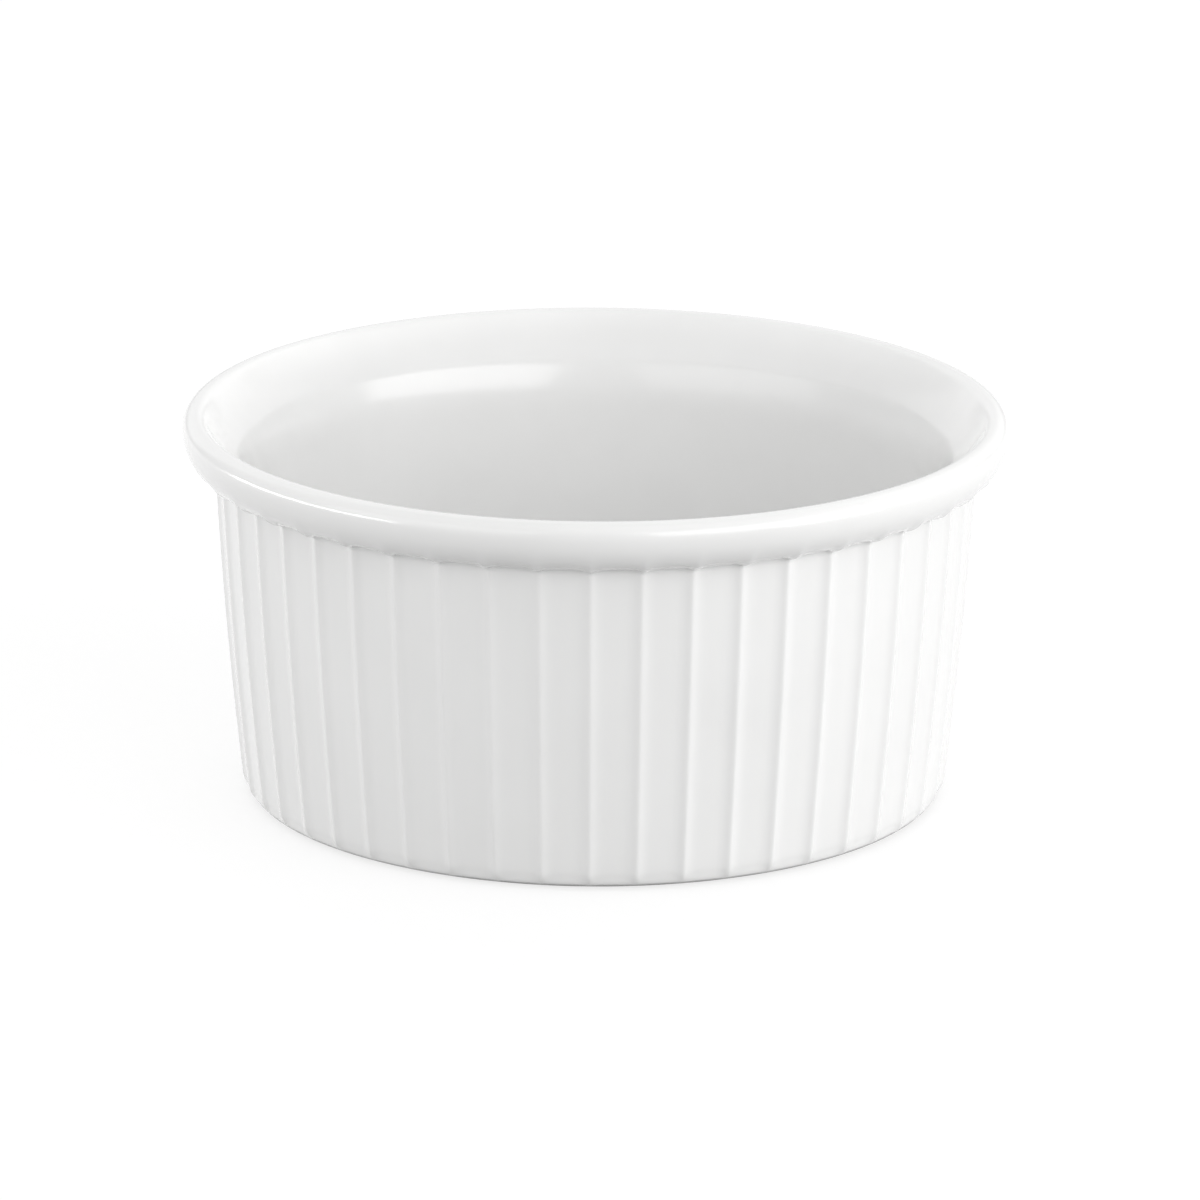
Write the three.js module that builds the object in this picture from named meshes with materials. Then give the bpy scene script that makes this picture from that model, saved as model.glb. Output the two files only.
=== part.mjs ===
// A round porcelain baking dish with a fluted wall and a rolled rim bead, in millimetres, +Z up.
// The origin is on the axis of the dish, in the plane that it stands on.
// The fired porcelain body is covered by a coat of glaze everywhere except on its standing ring.
import * as THREE from "three";
import { mergeGeometries, mergeVertices } from "three/addons/utils/BufferGeometryUtils.js";

// Overall sizes, measured over the glaze
const RIM_DIAMETER = 200;
const HEIGHT = 94;

// Rim bead, from its crest round to the wall
const BEAD_TOP_WIDTH = 3.5;
const BEAD_TOP_HEIGHT = 3.3;
const BEAD_OVERHANG = 7.8;
const BEAD_UNDERSIDE_HEIGHT = 10.2;

// Outer wall, measured over the ridges between the flutes
const BASE_DIAMETER = 172.4;
const WALL_BOW = 0.6;
const BASE_FILLET = 5.5;

// Flutes
const FLUTE_COUNT = 48;
const FLUTE_DEPTH = 0.8;
const FLUTE_FULLNESS = 5;
const RIDGE_FLANK_WIDTH = 2.3;
const RUN_OUT_HEIGHT = 6.7;
const FADE_HEIGHT = 2.1;

// Inside
const WALL_TOP_THICKNESS = 8.5;
const WALL_BASE_THICKNESS = 6.2;
const FLOOR_THICKNESS = 5;
const FLOOR_CORNER_RADIUS = 9;
const LIP_RADIUS = 2.4;
const FLARE_DROP = 10.4;
const FLARE_TILT = THREE.MathUtils.degToRad(32);
const FLARE_BEND = 5.4;
const SHOULDER_WIDTH = 2.8;
const SHOULDER_HEIGHT = 13;
const SHOULDER_SLOPE = THREE.MathUtils.degToRad(62);

// Foot and glaze
const GLAZE_THICKNESS = 0.3;
const GLAZE_STOP_HEIGHT = 1;
const STANDING_RING_WIDTH = 5;
const RECESS_DEPTH = 1.5;
const RECESS_DRAFT = 1;

// Facets round the dish where nothing is fluted
const ROUND_FACETS = 60;

// Sizes that follow from the ones above
const beadRadius = RIM_DIAMETER / 2;
const crestRadius = beadRadius - BEAD_TOP_WIDTH;
const beadMiddle = HEIGHT - BEAD_TOP_HEIGHT;
const wallTopRadius = beadRadius - BEAD_OVERHANG;
const wallTop = beadMiddle - BEAD_UNDERSIDE_HEIGHT;
const wallBaseRadius = BASE_DIAMETER / 2;
const bodyFillet = BASE_FILLET - GLAZE_THICKNESS;
const filletAxisRadius = wallBaseRadius - BASE_FILLET;
const innerTopRadius = wallTopRadius - WALL_TOP_THICKNESS;
const innerBaseRadius = wallBaseRadius - WALL_BASE_THICKNESS;
const floorHeight = RECESS_DEPTH + FLOOR_THICKNESS;
const flutePitch = (2 * Math.PI) / FLUTE_COUNT;
const recessRadius = filletAxisRadius - STANDING_RING_WIDTH;

const point = (radius, height) => new THREE.Vector2(radius, height);

function arc(centre, width, height, from, to) {
  return new THREE.EllipseCurve(centre.x, centre.y, width, height, from, to, to < from);
}

// A station is a point of the meridian outline with its outward normal and its share of the flute depth.
function station(curve, t, flute) {
  const along = curve.getTangent(t);
  return { at: curve.getPoint(t), normal: point(along.y, -along.x), flute };
}

// Stations along a curve, without its end, where the next curve starts.
function stations(curve, steps, flute = () => 0) {
  return Array.from({ length: steps }, (_, i) => station(curve, i / steps, flute(i / steps)));
}

// Where two curves meet at a corner, the normal is stretched so that an offset keeps both walls' thickness.
function corner(before, after, flute) {
  const { normal: first } = station(before, 1, flute);
  const { at, normal: second } = station(after, 0, flute);
  const normal = first.clone().add(second);
  normal.multiplyScalar(2 / normal.lengthSq());
  return { at, normal, flute };
}

// Outline of the outside, from the line where the glaze stops to the crest of the bead
const filletAxis = point(filletAxisRadius, bodyFillet);
const glazeStop = -Math.asin((bodyFillet - GLAZE_STOP_HEIGHT) / BASE_FILLET);
const baseFillet = arc(filletAxis, BASE_FILLET, BASE_FILLET, glazeStop, 0);

const wallFoot = point(wallBaseRadius, bodyFillet);
const wallHead = point(wallTopRadius, wallTop);
const wallBend = wallFoot.clone().add(wallHead).multiplyScalar(0.5);
wallBend.x += 2 * WALL_BOW;
const outerWall = new THREE.QuadraticBezierCurve(wallFoot, wallBend, wallHead);

const beadAxis = point(wallTopRadius, beadMiddle);
const runOut = -Math.asin(1 - RUN_OUT_HEIGHT / BEAD_UNDERSIDE_HEIGHT);
const fluteRunOut = arc(beadAxis, BEAD_OVERHANG, BEAD_UNDERSIDE_HEIGHT, -Math.PI / 2, runOut);
const beadSide = arc(beadAxis, BEAD_OVERHANG, BEAD_UNDERSIDE_HEIGHT, runOut, 0);
const beadTop = arc(point(crestRadius, beadMiddle), BEAD_TOP_WIDTH, BEAD_TOP_HEIGHT, 0, Math.PI / 2);

// Outline of the inside: the rolled lip, the flare down to its edge, the shoulder, the wall and the floor
const lipAxis = point(crestRadius, HEIGHT - LIP_RADIUS);
const lip = arc(lipAxis, LIP_RADIUS, LIP_RADIUS, Math.PI / 2, Math.PI - FLARE_TILT);
const flareBend = lip.getPoint(1).addScaledVector(lip.getTangent(1), FLARE_BEND);
const flareEdge = point(innerTopRadius + SHOULDER_WIDTH, HEIGHT - FLARE_DROP);
const flare = new THREE.QuadraticBezierCurve(lip.getPoint(1), flareBend, flareEdge);
const shoulderBend = point(innerTopRadius, flareEdge.y - SHOULDER_WIDTH * Math.tan(SHOULDER_SLOPE));
const shoulderFoot = point(innerTopRadius, flareEdge.y - SHOULDER_HEIGHT);
const shoulder = new THREE.QuadraticBezierCurve(flareEdge, shoulderBend, shoulderFoot);
const cornerAxis = point(innerBaseRadius - FLOOR_CORNER_RADIUS, floorHeight + FLOOR_CORNER_RADIUS);
const innerWall = new THREE.LineCurve(shoulderFoot, point(innerBaseRadius, cornerAxis.y));
const floorCorner = arc(cornerAxis, FLOOR_CORNER_RADIUS, FLOOR_CORNER_RADIUS, 0, -Math.PI / 2);
const floorEdge = { at: point(cornerAxis.x, floorHeight), normal: point(0, 1), flute: 0 };
const floorCentre = { at: point(0, floorHeight), normal: point(0, 1), flute: 0 };

// The flutes fade low in the base fillet and run out in the underside of the bead.
const fade = (t) => THREE.MathUtils.smoothstep(t, 0, 1);
const fadeInFillet = (t) => fade((baseFillet.getPoint(t).y - GLAZE_STOP_HEIGHT) / FADE_HEIGHT);
const flutedOutline = [
  ...stations(baseFillet, 2, fadeInFillet),
  ...stations(outerWall, 2, () => 1),
  corner(outerWall, fluteRunOut, 1),
  ...stations(fluteRunOut, 3, (t) => 1 - fade(t)).slice(1),
  station(beadSide, 0, 0),
];
const smoothOutline = [
  ...stations(beadTop, 3),
  ...stations(lip, 2),
  ...stations(flare, 3),
  corner(flare, shoulder, 0),
  ...stations(shoulder, 2).slice(1),
  ...stations(innerWall, 1),
  ...stations(floorCorner, 2),
  floorEdge,
  floorCentre,
];

// Angles of the points in a ring: a fluted ring has each ridge, its two flanks and the middle of each flute.
const flankShare = RIDGE_FLANK_WIDTH / (wallTopRadius * flutePitch);
const sectionShares = [0, flankShare, 0.5, 1 - flankShare];
const flutedAngles = [];
for (let i = 0; i < FLUTE_COUNT; i += 1) {
  sectionShares.forEach((share) => flutedAngles.push((i + share) * flutePitch));
}
const roundAngles = Array.from({ length: ROUND_FACETS }, (_, i) => (2 * Math.PI * i) / ROUND_FACETS);

// Depth of the hollow between two ridges as a share of the full depth: none on a ridge, all in the middle.
function hollow(angle) {
  const share = (angle / flutePitch) % 1;
  return 1 - Math.abs(2 * share - 1) ** FLUTE_FULLNESS;
}

// The ring of points that a station makes round the axis, set back by an offset under the glazed surface.
function ring({ at, normal, flute }, angles, offset) {
  if (at.x === 0) {
    return [{ angle: 0, at: new THREE.Vector3(0, 0, at.y - offset * normal.y) }];
  }
  return angles.map((angle) => {
    const depth = offset + FLUTE_DEPTH * flute * hollow(angle);
    const radius = at.x - depth * normal.x;
    const height = at.y - depth * normal.y;
    return { angle, at: new THREE.Vector3(radius * Math.cos(angle), radius * Math.sin(angle), height) };
  });
}

function glazedRings(offset) {
  return [
    ...flutedOutline.map((s) => ring(s, flutedAngles, offset)),
    ...smoothOutline.map((s) => ring(s, roundAngles, offset)),
  ];
}

// Triangles between two rings, which may have different numbers of points, one of them perhaps on the axis.
function band(lower, upper) {
  const corners = [];
  const angleAfter = (points, i) => (i + 1 < points.length ? points[i + 1].angle : 2 * Math.PI);
  const after = (points, i) => points[(i + 1) % points.length].at;
  let i = 0;
  let j = 0;
  const lowerSteps = lower.length > 1 ? lower.length : 0;
  const upperSteps = upper.length > 1 ? upper.length : 0;
  while (i < lowerSteps || j < upperSteps) {
    const lowerFirst = i < lowerSteps && (j >= upperSteps || angleAfter(lower, i) <= angleAfter(upper, j));
    const low = lower[i % lower.length].at;
    const high = upper[j % upper.length].at;
    if (lowerFirst) {
      corners.push(low, after(lower, i), high);
      i += 1;
    } else {
      corners.push(low, after(upper, j), high);
      j += 1;
    }
  }
  return corners;
}

// A skin over a row of rings, facing out of the material or, turned round, into it.
function skin(rings, turned = false) {
  const corners = rings.slice(1).flatMap((upper, i) => band(rings[i], upper));
  if (turned) {
    corners.reverse();
  }
  return new THREE.BufferGeometry().setFromPoints(corners);
}

function closed(...skins) {
  return mergeVertices(mergeGeometries(skins));
}

function mesh(name, geometry, colour, roughness) {
  const material = new THREE.MeshStandardMaterial({ color: colour, roughness, metalness: 0 });
  const made = new THREE.Mesh(geometry, material);
  made.name = name;
  return made;
}

// Porcelain body: the bare foot with its standing ring and recess, and everything under the glaze.
function porcelainBody() {
  const flat = (radius, height) => ({ at: point(radius, height), normal: point(0, -1), flute: 0 });
  const foot = [
    flat(0, RECESS_DEPTH),
    flat(recessRadius - RECESS_DRAFT, RECESS_DEPTH),
    flat(recessRadius, 0),
    flat(filletAxisRadius, 0),
    station(arc(filletAxis, bodyFillet, bodyFillet, -Math.PI / 2, glazeStop), 0.5, 0),
  ];
  const footRings = foot.map((s) => ring(s, roundAngles, 0));
  const geometry = closed(skin([...footRings, ...glazedRings(GLAZE_THICKNESS)]));
  return mesh("porcelain_body", geometry, 0xece9e3, 0.6);
}

// Glaze coat: one shell over the outside, the rim and the inside, with its edge just above the foot.
function glazeCoat() {
  const face = glazedRings(0);
  const back = glazedRings(GLAZE_THICKNESS);
  const geometry = closed(skin(face), skin(back, true), skin([back[0], face[0]]));
  return mesh("glaze_coat", geometry, 0xf6f6f4, 0.12);
}

// Underside glaze: the pool of glaze in the recess, which the bare standing ring parts from the coat.
function undersideGlaze() {
  const top = RECESS_DEPTH;
  const bottom = RECESS_DEPTH - GLAZE_THICKNESS;
  const radius = recessRadius - RECESS_DRAFT;
  const outline = [point(0, bottom), point(radius, bottom), point(radius, top), point(0, top)];
  const geometry = new THREE.LatheGeometry(outline, ROUND_FACETS).rotateX(Math.PI / 2);
  return mesh("underside_glaze", geometry, 0xf6f6f4, 0.12);
}

const dish = new THREE.Group();
dish.name = "fluted_baking_dish";
dish.add(porcelainBody(), glazeCoat(), undersideGlaze());

export default dish;
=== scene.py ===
# A fluted porcelain baking dish, dressed over its CAD solids: fine surfaces, glaze, light and camera.
from math import asin, cos, pi, radians, sin, tan

import bpy
import numpy as np
from mathutils import Matrix, Vector


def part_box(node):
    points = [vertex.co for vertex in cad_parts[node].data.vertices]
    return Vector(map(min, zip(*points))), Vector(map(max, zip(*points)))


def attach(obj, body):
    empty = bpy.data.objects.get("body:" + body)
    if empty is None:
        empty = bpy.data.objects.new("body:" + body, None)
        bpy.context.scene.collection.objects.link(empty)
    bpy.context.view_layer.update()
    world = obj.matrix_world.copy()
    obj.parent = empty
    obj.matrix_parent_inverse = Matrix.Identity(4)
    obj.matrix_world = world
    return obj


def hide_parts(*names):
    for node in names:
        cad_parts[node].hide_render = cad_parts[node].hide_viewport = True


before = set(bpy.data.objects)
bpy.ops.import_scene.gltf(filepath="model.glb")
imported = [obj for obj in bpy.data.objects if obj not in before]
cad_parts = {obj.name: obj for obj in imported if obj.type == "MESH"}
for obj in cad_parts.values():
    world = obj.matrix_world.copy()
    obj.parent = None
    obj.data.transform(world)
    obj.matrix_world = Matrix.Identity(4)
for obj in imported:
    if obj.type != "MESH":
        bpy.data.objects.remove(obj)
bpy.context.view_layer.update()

# Sizes of the dish in metres, over the glaze, from the solids where they show them
GLAZE_LOW, GLAZE_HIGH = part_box("glaze_coat")
UNDERSIDE_LOW, UNDERSIDE_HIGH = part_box("underside_glaze")
RIM_RADIUS = GLAZE_HIGH.x
HEIGHT = GLAZE_HIGH.z
GLAZE_STOP_HEIGHT = GLAZE_LOW.z
RECESS_DEPTH = UNDERSIDE_HIGH.z
RECESS_TOP_RADIUS = UNDERSIDE_HIGH.x
GLAZE_THICKNESS = UNDERSIDE_HIGH.z - UNDERSIDE_LOW.z

# Rim bead
BEAD_TOP_WIDTH = 0.0035
BEAD_TOP_HEIGHT = 0.0033
BEAD_OVERHANG = 0.0078
BEAD_UNDERSIDE_HEIGHT = 0.0102

# Outer wall over its ridges
BASE_RADIUS = 0.0862
WALL_BOW = 0.0006
BASE_FILLET = 0.0055
BODY_FILLET = BASE_FILLET - GLAZE_THICKNESS
FILLET_CENTRE = (BASE_RADIUS - BASE_FILLET, BODY_FILLET)
GLAZE_STOP_ANGLE = -asin((BODY_FILLET - GLAZE_STOP_HEIGHT) / BASE_FILLET)

# Flutes
FLUTE_COUNT = 48
FLUTE_DEPTH = 0.0008
FLUTE_FULLNESS = 5
RIDGE_ROUNDING = 0.0007
RUN_OUT_HEIGHT = 0.0067
FADE_HEIGHT = 0.0021

# Inside
WALL_TOP_THICKNESS = 0.0085
WALL_BASE_THICKNESS = 0.0062
FLOOR_THICKNESS = 0.005
FLOOR_CORNER_RADIUS = 0.009
LIP_RADIUS = 0.0024
FLARE_DROP = 0.0104
FLARE_TILT = radians(32)
FLARE_BEND = 0.0054
SHOULDER_WIDTH = 0.0028
SHOULDER_HEIGHT = 0.013
SHOULDER_SLOPE = radians(62)

# Foot
STANDING_RING_WIDTH = 0.005
FOOT_EDGE = 0.0004

# Rounded edge of the glaze in the recess: steps in from its edge, each with its rise over the glaze's face
POOL_EDGE = ((0.002, 0), (0.0008, 0.00003), (0.0002, 0.0001), (0, 0.0002))

# How the surfaces are divided
CURVE_POINTS = 200
FINE_STEP = 0.00005
SAME_POINT = 1e-9
SOFTENING = 0.0007
SOFTENING_REACH = 3
WIDEST_BAND = 0.003
TURN_PER_BAND = radians(5)

# Points of one flute's section as shares of the way from ridge to ridge, closest together at the ridges
SECTION_SHARES = (0, 0.03, 0.065, 0.11, 0.18, 0.28, 0.4, 0.5, 0.6, 0.72, 0.82, 0.89, 0.935, 0.97)

# Part of a noise's range that its colours and roughness are spread over
NOISE_LOW = 0.3
NOISE_HIGH = 0.7

# Glaze, with the scales of its noises per metre
GLAZE_COLOURS = ((0.865, 0.865, 0.86), (0.895, 0.895, 0.89))
GLAZE_POOL_SCALE = 30
GLAZE_ROUGHNESS = (0.17, 0.24)
GLAZE_GLOSS_SCALE = 120
GLAZE_IOR = 1.52
GLAZE_COAT_ROUGHNESS = 0.17
GLAZE_RIPPLE_SCALE = 55
GLAZE_RIPPLE_HEIGHT = 0.00002

# Bare porcelain, with the scales of its noises per metre
PORCELAIN_COLOURS = ((0.71, 0.68, 0.63), (0.82, 0.80, 0.76))
PORCELAIN_TINT_SCALE = 140
PORCELAIN_ROUGHNESS = (0.5, 0.7)
PORCELAIN_POLISH_SCALE = 400
PORCELAIN_GRAIN_SCALE = 2500
PORCELAIN_GRAIN_HEIGHT = 0.00012

# Studio floor
STUDIO_FLOOR_REACH = 4
STUDIO_FLOOR_GREY = 0.25
STUDIO_FLOOR_GLOW = 0.75
STUDIO_FLOOR_ROUGHNESS = 0.8

# Lamps: azimuth to the right of the camera's side and elevation in degrees, size in metres, watts
LAMP_DISTANCE = 2.4
LAMPS = {
    "key_box": (50, 20, (3.1, 1.55), 24.5),
    "fill_box": (-48, 20, (2.8, 1.55), 8),
    "right_strip": (85, 2.3, (2.8, 0.17), 22),
    "left_strip": (-85, 2.3, (2.8, 0.17), 16.5),
    "back_panel": (180, 35, (4.0, 2.6), 11),
}
ROOM_STRENGTH = 0.7

# Camera, from the ellipses of the rim and base in the photograph, with its angles in degrees
LENS = 246.35
SENSOR = 36.0
CAMERA_DISTANCE = 2.0
CAMERA_AZIMUTH = 0.6
CAMERA_ELEVATION = 16.82
CAMERA_ROLL = 0.34
CAMERA_TARGET = Vector((0.00126, 0, 0.0459))


def arc(centre, width, height, start, end):
    angle = np.linspace(start, end, CURVE_POINTS)
    return np.column_stack([centre[0] + width * np.cos(angle), centre[1] + height * np.sin(angle)])


def bend(start, pull, end):
    along = np.linspace(0, 1, CURVE_POINTS)[:, None]
    pulled = 2 * along * (1 - along) * np.array(pull)
    return (1 - along) ** 2 * np.array(start) + pulled + along**2 * np.array(end)


def line(start, end):
    return np.linspace(start, end, CURVE_POINTS)


def fade(share):
    share = np.clip(share, 0, 1)
    return share * share * (3 - 2 * share)


WHOLE_FLUTE = np.ones(CURVE_POINTS)
NO_FLUTE = np.zeros(CURVE_POINTS)


def outer_curves():
    """Curves from the glaze's lower edge up the wall and over the bead to the crest of the rim."""
    bead_middle = HEIGHT - BEAD_TOP_HEIGHT
    crest = RIM_RADIUS - BEAD_TOP_WIDTH
    wall_foot = np.array([BASE_RADIUS, BODY_FILLET])
    wall_head = np.array([RIM_RADIUS - BEAD_OVERHANG, bead_middle - BEAD_UNDERSIDE_HEIGHT])
    wall_bend = (wall_foot + wall_head) / 2 + np.array([2 * WALL_BOW, 0])
    run_out = -asin(1 - RUN_OUT_HEIGHT / BEAD_UNDERSIDE_HEIGHT)
    bead_axis = (wall_head[0], bead_middle)
    fillet = arc(FILLET_CENTRE, BASE_FILLET, BASE_FILLET, GLAZE_STOP_ANGLE, 0)
    running_out = 1 - fade(np.linspace(0, 1, CURVE_POINTS))
    return [
        (fillet, fade((fillet[:, 1] - GLAZE_STOP_HEIGHT) / FADE_HEIGHT)),
        (bend(wall_foot, wall_bend, wall_head), WHOLE_FLUTE),
        (arc(bead_axis, BEAD_OVERHANG, BEAD_UNDERSIDE_HEIGHT, -pi / 2, run_out), running_out),
        (arc(bead_axis, BEAD_OVERHANG, BEAD_UNDERSIDE_HEIGHT, run_out, 0), NO_FLUTE),
        (arc((crest, bead_middle), BEAD_TOP_WIDTH, BEAD_TOP_HEIGHT, 0, pi / 2), NO_FLUTE),
    ]


def inner_curves():
    """Curves from the crest of the rim down the flare, shoulder and wall to the middle of the floor."""
    crest = RIM_RADIUS - BEAD_TOP_WIDTH
    inner_top = RIM_RADIUS - BEAD_OVERHANG - WALL_TOP_THICKNESS
    inner_base = BASE_RADIUS - WALL_BASE_THICKNESS
    floor = RECESS_DEPTH + FLOOR_THICKNESS
    lip = arc((crest, HEIGHT - LIP_RADIUS), LIP_RADIUS, LIP_RADIUS, pi / 2, pi - FLARE_TILT)
    flare_bend = lip[-1] - FLARE_BEND * np.array([sin(FLARE_TILT), cos(FLARE_TILT)])
    flare_edge = np.array([inner_top + SHOULDER_WIDTH, HEIGHT - FLARE_DROP])
    shoulder_bend = flare_edge - SHOULDER_WIDTH * np.array([1, tan(SHOULDER_SLOPE)])
    shoulder_foot = (inner_top, flare_edge[1] - SHOULDER_HEIGHT)
    corner_axis = (inner_base - FLOOR_CORNER_RADIUS, floor + FLOOR_CORNER_RADIUS)
    curves = [
        lip,
        bend(lip[-1], flare_bend, flare_edge),
        bend(flare_edge, shoulder_bend, shoulder_foot),
        line(shoulder_foot, (inner_base, corner_axis[1])),
        arc(corner_axis, FLOOR_CORNER_RADIUS, FLOOR_CORNER_RADIUS, 0, -pi / 2),
        line((corner_axis[0], floor), (0, floor)),
    ]
    return [(curve, NO_FLUTE) for curve in curves]


def foot_curves():
    """Curves from the middle of the recess over the standing ring to the glaze's lower edge."""
    ring_outer = FILLET_CENTRE[0]
    ring_inner = ring_outer - STANDING_RING_WIDTH
    curves = [
        line((0, RECESS_DEPTH), (RECESS_TOP_RADIUS, RECESS_DEPTH)),
        line((RECESS_TOP_RADIUS, RECESS_DEPTH), (ring_inner, 0)),
        line((ring_inner, 0), (ring_outer, 0)),
        arc(FILLET_CENTRE, BODY_FILLET, BODY_FILLET, -pi / 2, GLAZE_STOP_ANGLE),
    ]
    return [(curve, NO_FLUTE) for curve in curves]


def softened(values, steps):
    """Values along an outline with their corners rounded off, and their two ends kept."""
    reach = SOFTENING_REACH * steps
    weights = np.exp(-0.5 * (np.arange(-reach, reach + 1) / steps) ** 2)
    weights /= weights.sum()
    before = 2 * values[0] - values[reach:0:-1]
    after = 2 * values[-1] - values[-2 : -reach - 2 : -1]
    return np.convolve(np.concatenate([before, values, after]), weights, mode="valid")


def lengths_along(points):
    return np.linalg.norm(np.diff(points, axis=0), axis=1)


class Outline:
    """Points of a meridian outline with outward normals and shares of the flute depth.

    It takes curves of (radius, height) points, each with its shares of the flute depth."""

    def __init__(self, curves, softening):
        points = np.concatenate([curve for curve, _ in curves])
        flute = np.concatenate([share for _, share in curves])
        keep = np.append(True, lengths_along(points) > SAME_POINT)
        points, flute = points[keep], flute[keep]
        along = np.append(0, np.cumsum(lengths_along(points)))
        fine = np.linspace(0, along[-1], int(along[-1] / FINE_STEP))
        steps = max(1, round(softening / FINE_STEP))
        columns = (points[:, 0], points[:, 1], flute)
        radius, height, flute = (softened(np.interp(fine, along, column), steps) for column in columns)
        turn = np.unwrap(np.arctan2(np.gradient(height), np.gradient(radius)))
        bands = np.append(0, np.cumsum(FINE_STEP / WIDEST_BAND + np.abs(np.diff(turn)) / TURN_PER_BAND))
        numbers = np.arange(len(fine))
        chosen = np.interp(np.linspace(0, bands[-1], int(bands[-1]) + 1), bands, numbers)
        self.radius = np.interp(chosen, numbers, radius)
        self.radius[self.radius < FINE_STEP] = 0
        self.height = np.interp(chosen, numbers, height)
        self.flute = np.clip(np.interp(chosen, numbers, flute), 0, 1)
        angle = np.interp(chosen, numbers, turn)
        self.normal_radius, self.normal_height = np.sin(angle), -np.cos(angle)


def flute_section():
    """Angles round the dish and the depth of the flutes at each, as a share of the full depth."""
    shares = np.array(SECTION_SHARES)
    from_ridge = 1 - np.abs(2 * shares - 1)
    rounding = RIDGE_ROUNDING / (pi * BASE_RADIUS / FLUTE_COUNT)
    rounded = np.sqrt(from_ridge**2 + rounding**2) - rounding
    rounded /= np.sqrt(1 + rounding**2) - rounding
    hollow = 1 - (1 - rounded) ** FLUTE_FULLNESS
    angles = (np.arange(FLUTE_COUNT)[:, None] + shares).ravel() * 2 * pi / FLUTE_COUNT
    return angles, np.tile(hollow, FLUTE_COUNT)


ANGLES, HOLLOW = flute_section()


def rings(outline, set_back):
    """Rings of points round the axis, set back under the outline by one depth and by the flutes."""
    depth = set_back + FLUTE_DEPTH * outline.flute[:, None] * HOLLOW
    radius = np.maximum(outline.radius[:, None] - depth * outline.normal_radius[:, None], 0)
    height = outline.height[:, None] - depth * outline.normal_height[:, None]
    return np.stack([radius * np.cos(ANGLES), radius * np.sin(ANGLES), height], axis=-1)


def plain_rings(radii, heights):
    radius, height = np.array(radii)[:, None], np.array(heights)[:, None]
    return np.stack([radius * np.cos(ANGLES), radius * np.sin(ANGLES), height + 0 * ANGLES], axis=-1)


def lofted(name, rows, material, loop=False):
    """A closed smooth mesh over rows of points.

    A row on the axis is one point, and a loop joins the last row to the first."""
    count = rows.shape[1]
    verts, index = [], []
    for row in rows:
        single = np.abs(row[:, :2]).max() < FINE_STEP
        first = len(verts)
        verts.extend(row[:1] if single else row)
        index.append([first] * count if single else list(range(first, first + count)))
    pairs = list(zip(index, index[1:]))
    if loop:
        pairs.append((index[-1], index[0]))
    faces = []
    for low, high in pairs:
        for here in range(count):
            there = (here + 1) % count
            corners = [low[here], low[there], high[there], high[here]]
            kept = [corner for place, corner in enumerate(corners) if corner != corners[place - 1]]
            if len(kept) > 2:
                faces.append(kept)
    mesh = bpy.data.meshes.new(name)
    mesh.from_pydata([tuple(vert) for vert in verts], [], faces)
    mesh.shade_smooth()
    mesh.materials.append(material)
    piece = bpy.data.objects.new(name, mesh)
    bpy.context.scene.collection.objects.link(piece)
    return piece


def node_tree(name):
    material = bpy.data.materials.new(name)
    material.use_nodes = True
    nodes, links = material.node_tree.nodes, material.node_tree.links
    return material, nodes, links, nodes["Principled BSDF"]


def noise(nodes, links, scale, detail):
    where = nodes.new("ShaderNodeTexCoord")
    cloud = nodes.new("ShaderNodeTexNoise")
    cloud.inputs["Scale"].default_value = scale
    cloud.inputs["Detail"].default_value = detail
    links.new(where.outputs["Object"], cloud.inputs["Vector"])
    return cloud.outputs["Fac"]


def ramp(nodes, links, value, colours):
    blend = nodes.new("ShaderNodeValToRGB")
    places = (NOISE_LOW, NOISE_HIGH)
    for element, place, colour in zip(blend.color_ramp.elements, places, colours):
        element.position, element.color = place, (*colour, 1)
    links.new(value, blend.inputs["Fac"])
    return blend.outputs["Color"]


def spread(nodes, links, value, limits):
    span = nodes.new("ShaderNodeMapRange")
    span.inputs["From Min"].default_value = NOISE_LOW
    span.inputs["From Max"].default_value = NOISE_HIGH
    span.inputs["To Min"].default_value, span.inputs["To Max"].default_value = limits
    links.new(value, span.inputs["Value"])
    return span.outputs["Result"]


def bump(nodes, links, shader, height, distance):
    relief = nodes.new("ShaderNodeBump")
    relief.inputs["Distance"].default_value = distance
    links.new(height, relief.inputs["Height"])
    links.new(relief.outputs["Normal"], shader.inputs["Normal"])


def glaze_material():
    material, nodes, links, shader = node_tree("white_glaze")
    pools = noise(nodes, links, GLAZE_POOL_SCALE, detail=3)
    gloss = noise(nodes, links, GLAZE_GLOSS_SCALE, detail=2)
    ripples = noise(nodes, links, GLAZE_RIPPLE_SCALE, detail=2)
    links.new(ramp(nodes, links, pools, GLAZE_COLOURS), shader.inputs["Base Color"])
    links.new(spread(nodes, links, gloss, GLAZE_ROUGHNESS), shader.inputs["Roughness"])
    shader.inputs["IOR"].default_value = GLAZE_IOR
    shader.inputs["Coat Weight"].default_value = 1.0
    shader.inputs["Coat Roughness"].default_value = GLAZE_COAT_ROUGHNESS
    bump(nodes, links, shader, ripples, GLAZE_RIPPLE_HEIGHT)
    return material


def porcelain_material():
    material, nodes, links, shader = node_tree("bare_porcelain")
    tint = noise(nodes, links, PORCELAIN_TINT_SCALE, detail=5)
    polish = noise(nodes, links, PORCELAIN_POLISH_SCALE, detail=4)
    grain = noise(nodes, links, PORCELAIN_GRAIN_SCALE, detail=4)
    links.new(ramp(nodes, links, tint, PORCELAIN_COLOURS), shader.inputs["Base Color"])
    links.new(spread(nodes, links, polish, PORCELAIN_ROUGHNESS), shader.inputs["Roughness"])
    bump(nodes, links, shader, grain, PORCELAIN_GRAIN_HEIGHT)
    return material


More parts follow.
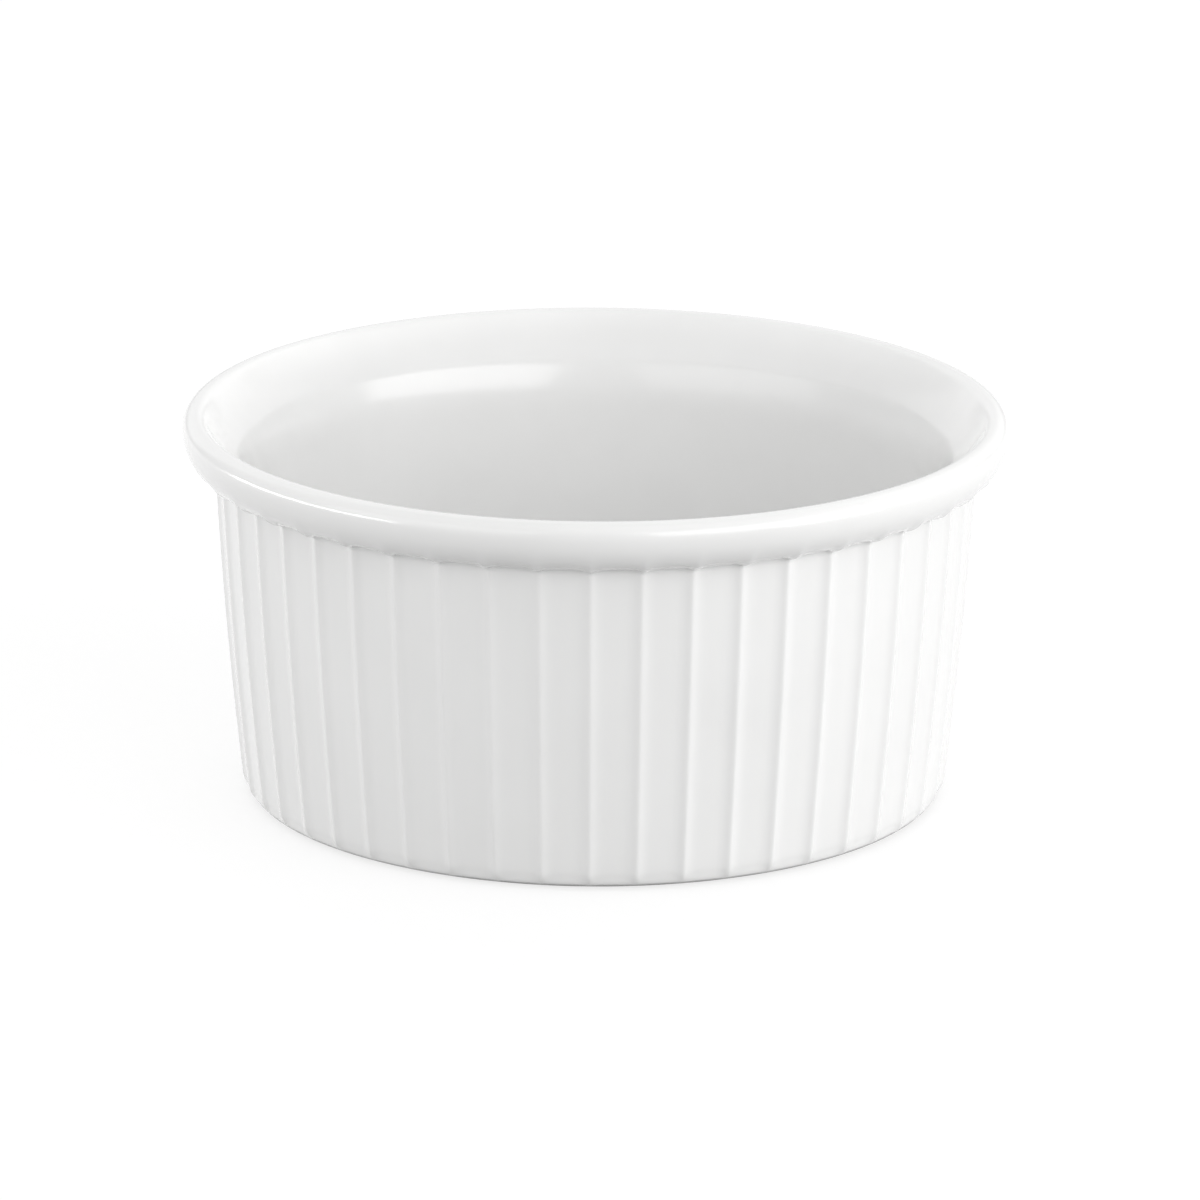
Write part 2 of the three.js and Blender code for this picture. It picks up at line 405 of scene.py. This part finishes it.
def make_glaze_coat(face, glaze):
    rows = np.concatenate([rings(face, 0), rings(face, GLAZE_THICKNESS)[::-1]])
    coat = lofted("dish_glaze", rows, glaze, loop=True)
    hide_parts("glaze_coat")
    return coat


def make_body(face, porcelain):
    under = Outline(foot_curves(), FOOT_EDGE)
    rows = np.concatenate([rings(under, 0)[:-1], rings(face, GLAZE_THICKNESS)])
    body = lofted("dish_body", rows, porcelain)
    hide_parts("porcelain_body")
    return body


def make_underside_glaze(glaze):
    low, high = RECESS_DEPTH - GLAZE_THICKNESS, RECESS_DEPTH
    edge = RECESS_TOP_RADIUS
    radii = [0, *(edge - inset for inset, _ in POOL_EDGE), edge, 0]
    heights = [low, *(low + rise for _, rise in POOL_EDGE), high, high]
    pool = lofted("dish_underside_glaze", plain_rings(radii, heights), glaze)
    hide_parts("underside_glaze")
    return pool


def make_dish():
    glaze, porcelain = glaze_material(), porcelain_material()
    face = Outline(outer_curves() + inner_curves(), SOFTENING)
    pieces = (make_glaze_coat(face, glaze), make_body(face, porcelain), make_underside_glaze(glaze))
    for piece in pieces:
        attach(piece, "root")


def direction(azimuth, elevation):
    """Unit vector out from the dish, from angles in degrees, with the azimuth to the right of the front."""
    azimuth, elevation = radians(azimuth), radians(elevation)
    return Vector((cos(elevation) * sin(azimuth), -cos(elevation) * cos(azimuth), sin(elevation)))


def make_lamp(name, azimuth, elevation, size, power):
    data = bpy.data.lights.new(name, "AREA")
    data.shape = "RECTANGLE"
    data.size, data.size_y = size
    data.energy = power
    outward = direction(azimuth, elevation)
    lamp = bpy.data.objects.new(name, data)
    lamp.location = CAMERA_TARGET + LAMP_DISTANCE * outward
    lamp.rotation_euler = outward.to_track_quat("Z", "Y").to_euler()
    bpy.context.scene.collection.objects.link(lamp)


def make_lights():
    """A large soft box on each side in front, the right one brighter, a low strip light far out on each side,
    a large panel behind and an even white room."""
    for name, settings in LAMPS.items():
        make_lamp(name, *settings)
    world = bpy.data.worlds.new("studio")
    world.use_nodes = True
    background = world.node_tree.nodes["Background"]
    background.inputs["Color"].default_value = (1, 1, 1, 1)
    background.inputs["Strength"].default_value = ROOM_STRENGTH
    bpy.context.scene.world = world


def floor_material():
    """A plain pale floor that looks white and still takes the dish's shadow."""
    material, nodes, links, shader = node_tree("studio_floor")
    shader.inputs["Base Color"].default_value = (STUDIO_FLOOR_GREY, STUDIO_FLOOR_GREY, STUDIO_FLOOR_GREY, 1)
    shader.inputs["Roughness"].default_value = STUDIO_FLOOR_ROUGHNESS
    glow = nodes.new("ShaderNodeEmission")
    glow.inputs["Color"].default_value = (STUDIO_FLOOR_GLOW, STUDIO_FLOOR_GLOW, STUDIO_FLOOR_GLOW, 1)
    path = nodes.new("ShaderNodeLightPath")
    seen = path.outputs["Is Camera Ray"]
    for kind in ("Is Glossy Ray", "Is Transmission Ray"):
        either = nodes.new("ShaderNodeMath")
        either.operation = "MAXIMUM"
        links.new(seen, either.inputs[0])
        links.new(path.outputs[kind], either.inputs[1])
        seen = either.outputs["Value"]
    links.new(seen, glow.inputs["Strength"])
    both = nodes.new("ShaderNodeAddShader")
    links.new(shader.outputs["BSDF"], both.inputs[0])
    links.new(glow.outputs["Emission"], both.inputs[1])
    links.new(both.outputs["Shader"], nodes["Material Output"].inputs["Surface"])
    return material


def make_floor():
    reach = STUDIO_FLOOR_REACH
    mesh = bpy.data.meshes.new("floor")
    corners = [(-reach, -reach, 0), (reach, -reach, 0), (reach, reach, 0), (-reach, reach, 0)]
    mesh.from_pydata(corners, [], [(0, 1, 2, 3)])
    mesh.materials.append(floor_material())
    floor = bpy.data.objects.new("floor", mesh)
    bpy.context.scene.collection.objects.link(floor)


def make_camera():
    data = bpy.data.cameras.new("camera")
    data.lens = LENS
    data.sensor_width = SENSOR
    back = direction(CAMERA_AZIMUTH, CAMERA_ELEVATION)
    camera = bpy.data.objects.new("camera", data)
    roll = Matrix.Rotation(radians(CAMERA_ROLL), 4, "Z")
    turn = back.to_track_quat("Z", "Y").to_matrix().to_4x4() @ roll
    camera.matrix_world = Matrix.Translation(CAMERA_TARGET + CAMERA_DISTANCE * back) @ turn
    bpy.context.scene.collection.objects.link(camera)
    bpy.context.scene.camera = camera


make_camera()
make_dish()
make_floor()
make_lights()
bpy.context.scene.view_settings.view_transform = "Standard"
